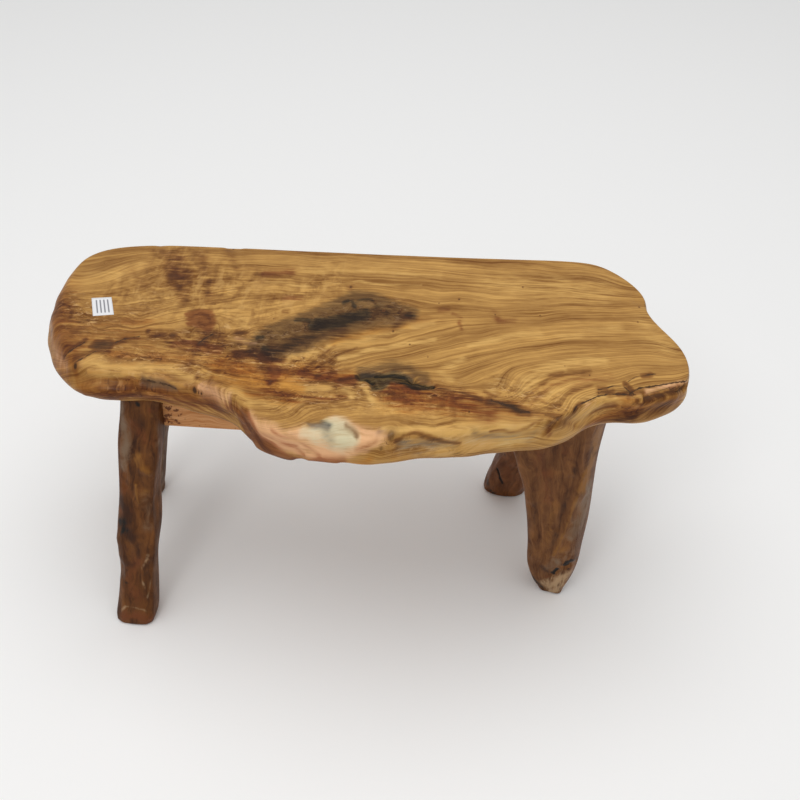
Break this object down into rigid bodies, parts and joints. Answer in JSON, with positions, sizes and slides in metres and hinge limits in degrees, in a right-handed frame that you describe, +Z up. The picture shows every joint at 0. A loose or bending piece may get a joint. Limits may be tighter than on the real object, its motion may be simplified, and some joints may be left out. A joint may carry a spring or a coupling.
{
  "type": "bench",
  "caption": "Low rustic bench: a natural-edged wooden plank for a seat on splayed root legs, tied by rails under the plank.",
  "frame": {"origin": "on the floor, under the middle of the bench's box", "axes": "+X along the bench to its right end as seen from the front, +Y to its back, +Z up"},
  "size_m": [0.929, 0.4429, 0.457],
  "materials": {
    "seat_wood": "satin varnish",
    "leg_wood": "satin varnish",
    "rail_wood": "satin varnish",
    "screw_steel": "plain"
  },
  "bodies": {
    "root": {"seat_slab": "seat_wood", "front_left_leg": "leg_wood", "rear_left_leg": "leg_wood", "front_right_leg": "leg_wood", "rear_right_leg": "leg_wood", "front_rail": "rail_wood", "rear_rail": "rail_wood", "left_cross_rail": "rail_wood", "right_cross_rail": "rail_wood", "slab_screws": "screw_steel"}
  },
  "joints": []
}
